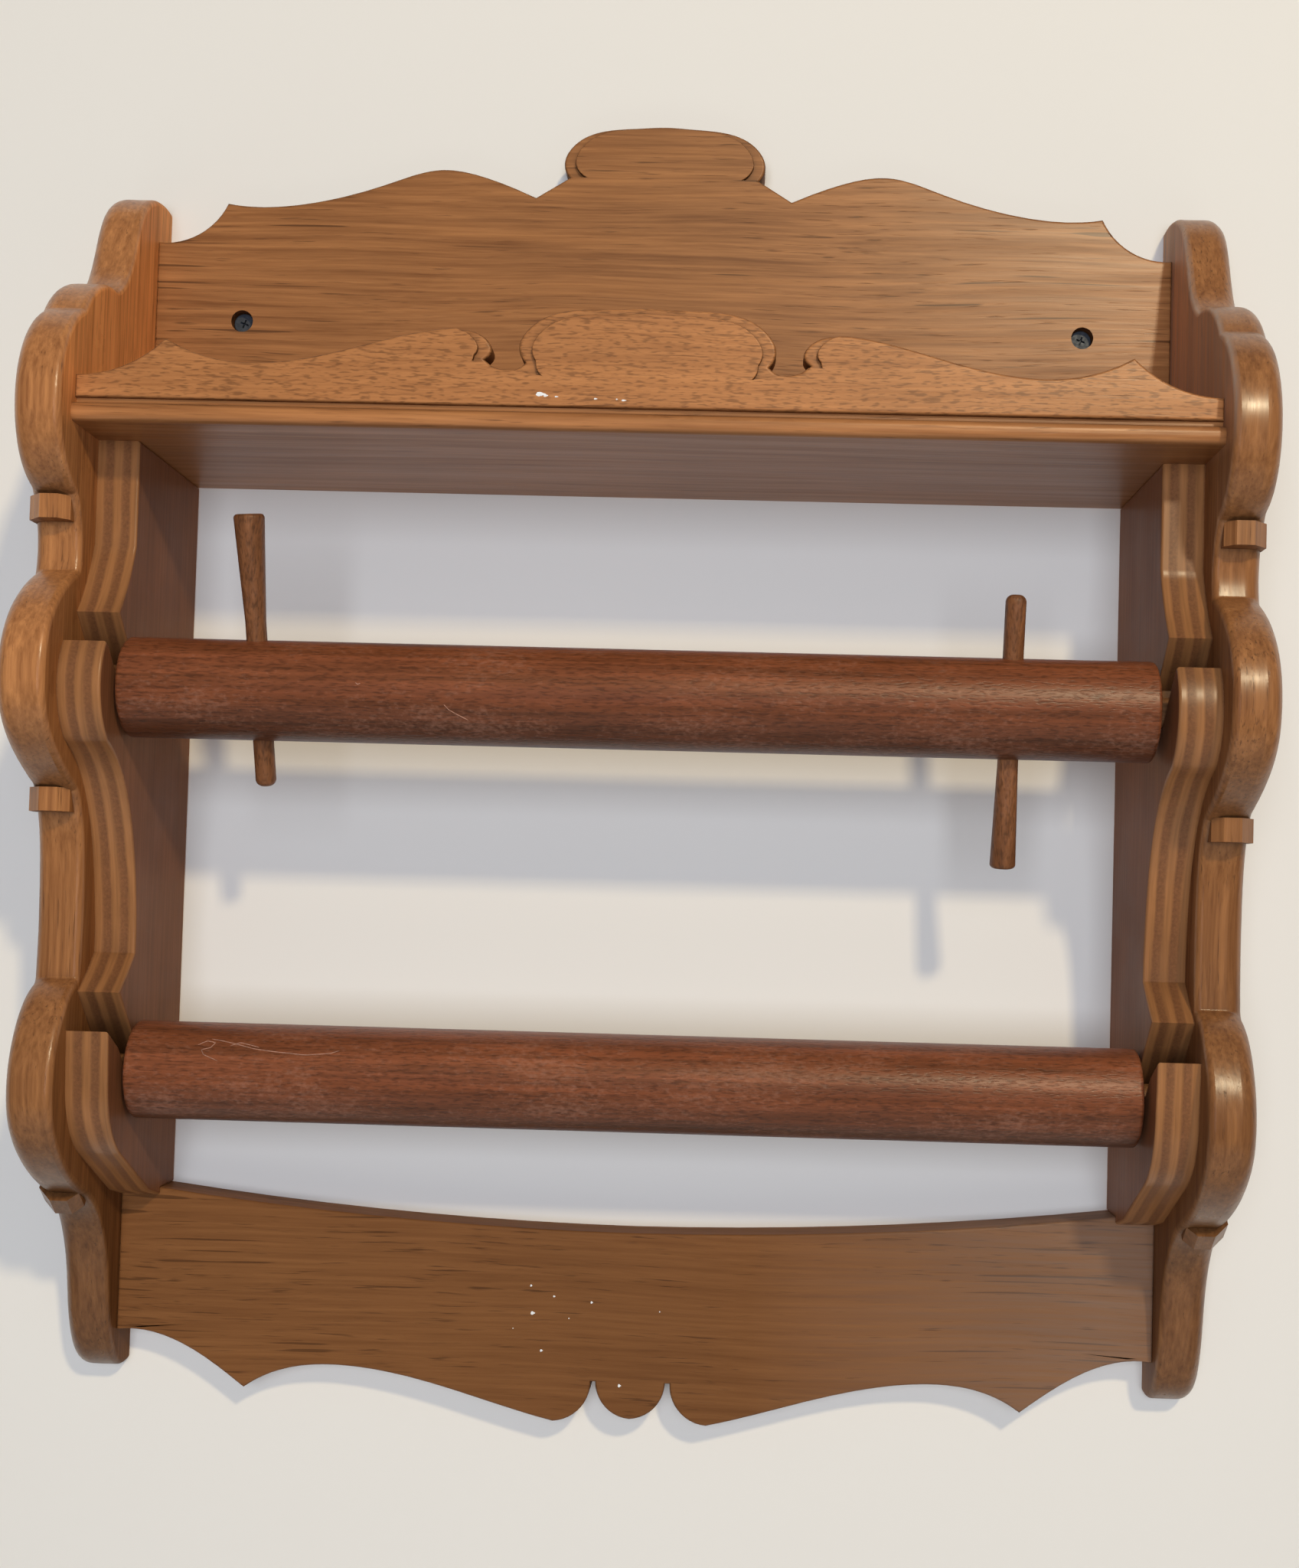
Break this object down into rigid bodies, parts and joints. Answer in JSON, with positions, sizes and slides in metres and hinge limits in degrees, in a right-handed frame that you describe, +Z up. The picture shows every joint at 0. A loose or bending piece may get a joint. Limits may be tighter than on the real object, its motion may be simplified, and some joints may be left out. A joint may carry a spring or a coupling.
{
  "type": "wall spice rack with paper and towel rollers",
  "caption": "Scroll-cut oak wall rack: a railed shelf for spice jars over a pegged roller for paper and a plain roller for a towel, both lifting out of slotted brackets.",
  "frame": {"origin": "on the wall, midway between the two wall screws", "axes": "+X to the right as seen from the front, +Y into the wall, +Z up"},
  "size_m": [0.485, 0.1315, 0.5668],
  "materials": {
    "oak": "stained and varnished oak",
    "plywood": "varnished birch plywood",
    "roller_wood": "stained hardwood, satin",
    "peg_wood": "stained hardwood, satin",
    "dowel_wood": "plain beech"
  },
  "bodies": {
    "rack": {"left_side_panel": "oak", "right_side_panel": "oak", "back_board": "oak", "shelf_board": "oak", "gallery_rail": "oak", "bottom_board": "oak", "left_roller_bracket": "plywood", "right_roller_bracket": "plywood", "shelf_dowels": "dowel_wood", "back_board_dowels": "dowel_wood", "bottom_board_dowels": "dowel_wood", "left_bracket_dowels": "dowel_wood", "right_bracket_dowels": "dowel_wood"},
    "upper_pins": {"upper_roller_pins": "dowel_wood"},
    "upper_roller": {"upper_roller": "roller_wood"},
    "left_peg": {"left_peg": "peg_wood"},
    "right_peg": {"right_peg": "peg_wood"},
    "lower_pins": {"lower_roller_pins": "dowel_wood"},
    "lower_roller": {"lower_roller": "roller_wood"}
  },
  "joints": [
    {"name": "upper_roller_lift", "type": "slide", "parent": "rack", "child": "upper_pins", "axis": [0, -0.7071, 0.7071], "range_m": [0, 0.06]},
    {"name": "upper_roller_turn", "type": "hinge", "parent": "upper_pins", "child": "upper_roller", "pos_m": [0, -0.0868, -0.1711], "axis": [1, 0, 0], "continuous": true},
    {"name": "left_peg_pull", "type": "slide", "parent": "upper_roller", "child": "left_peg", "axis": [-0.0461, -0.2077, 0.9771], "range_m": [0, 0.028]},
    {"name": "right_peg_pull", "type": "slide", "parent": "upper_roller", "child": "right_peg", "axis": [0, 0.2079, -0.9781], "range_m": [0, 0.06]},
    {"name": "lower_roller_lift", "type": "slide", "parent": "rack", "child": "lower_pins", "axis": [0, -0.7071, 0.7071], "range_m": [0, 0.06]},
    {"name": "lower_roller_turn", "type": "hinge", "parent": "lower_pins", "child": "lower_roller", "pos_m": [0, -0.0608, -0.3256], "axis": [1, 0, 0], "continuous": true}
  ]
}
